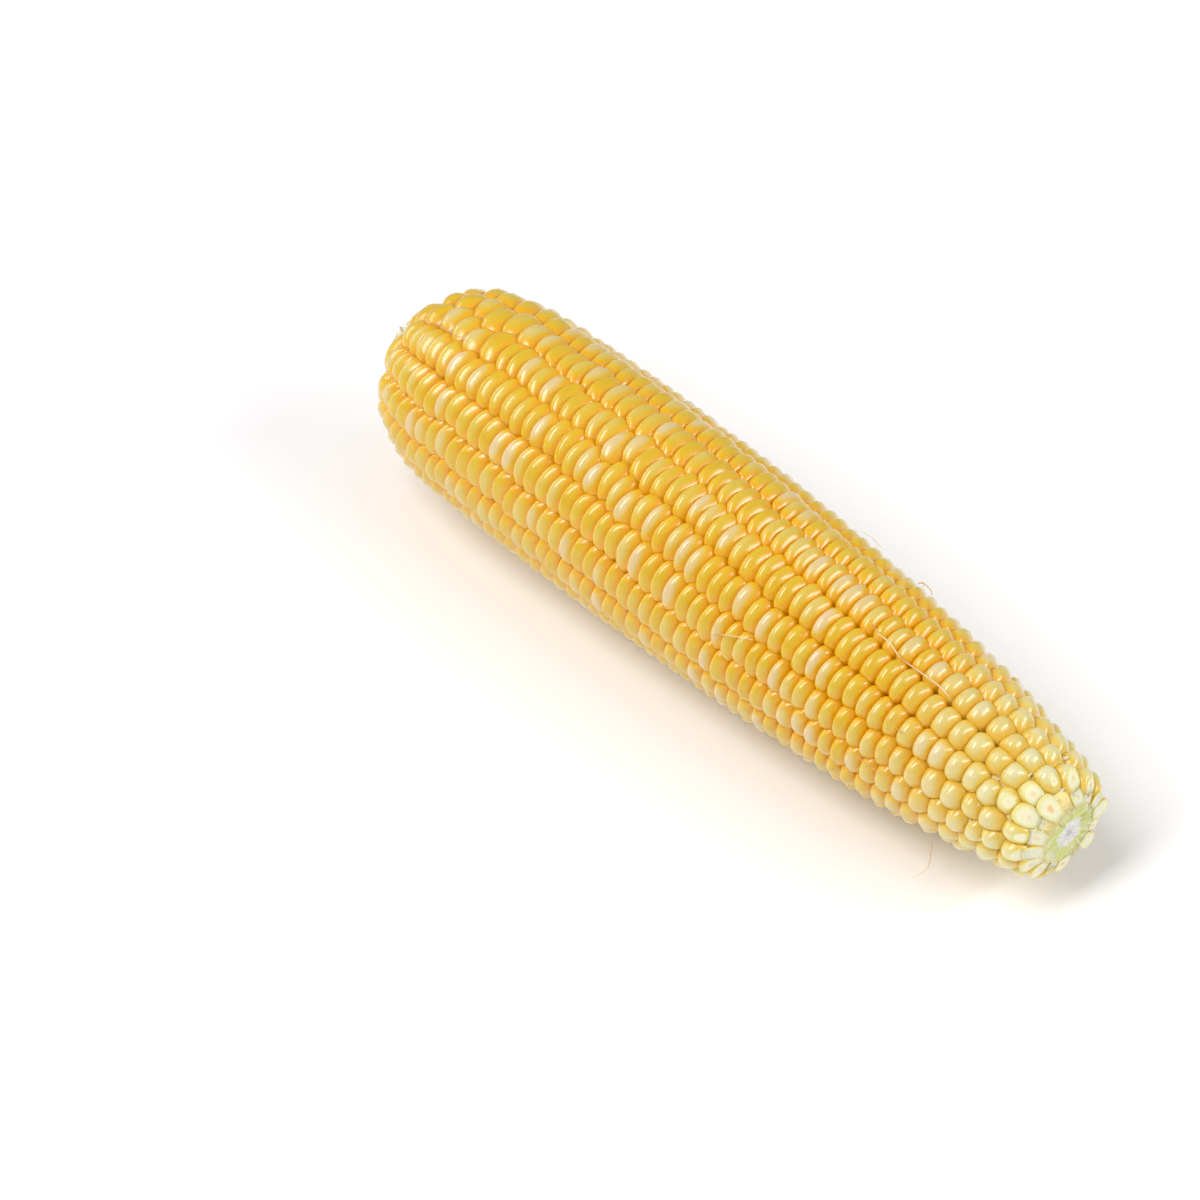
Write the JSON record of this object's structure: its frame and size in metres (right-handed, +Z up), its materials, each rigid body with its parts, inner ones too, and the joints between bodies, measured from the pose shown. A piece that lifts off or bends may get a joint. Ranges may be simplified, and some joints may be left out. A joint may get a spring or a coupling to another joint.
{
  "type": "corn cob",
  "caption": "Husked ear of sweet corn lying on its side, with rows of plump kernels on a woody cob, broken off its stalk at the thick end and cut across at the tip.",
  "frame": {"origin": "on the surface that the ear lies on, below the middle of its length and width", "axes": "+X along the ear from the butt to the cut tip, +Z up, +Y across the ear"},
  "size_m": [0.2, 0.05, 0.0505],
  "materials": {
    "kernel": "smooth and slightly waxy, translucent yellow, paler towards the tip",
    "cob": "matt, fibrous and spongy, pale green-white"
  },
  "bodies": {
    "root": {"cob_core": "cob", "kernel_row_01": "kernel", "kernel_row_02": "kernel", "kernel_row_03": "kernel", "kernel_row_04": "kernel", "kernel_row_05": "kernel", "kernel_row_06": "kernel", "kernel_row_07": "kernel", "kernel_row_08": "kernel", "kernel_row_09": "kernel", "kernel_row_10": "kernel", "kernel_row_11": "kernel", "kernel_row_12": "kernel", "kernel_row_13": "kernel", "kernel_row_14": "kernel", "kernel_row_15": "kernel", "kernel_row_16": "kernel"}
  },
  "joints": []
}
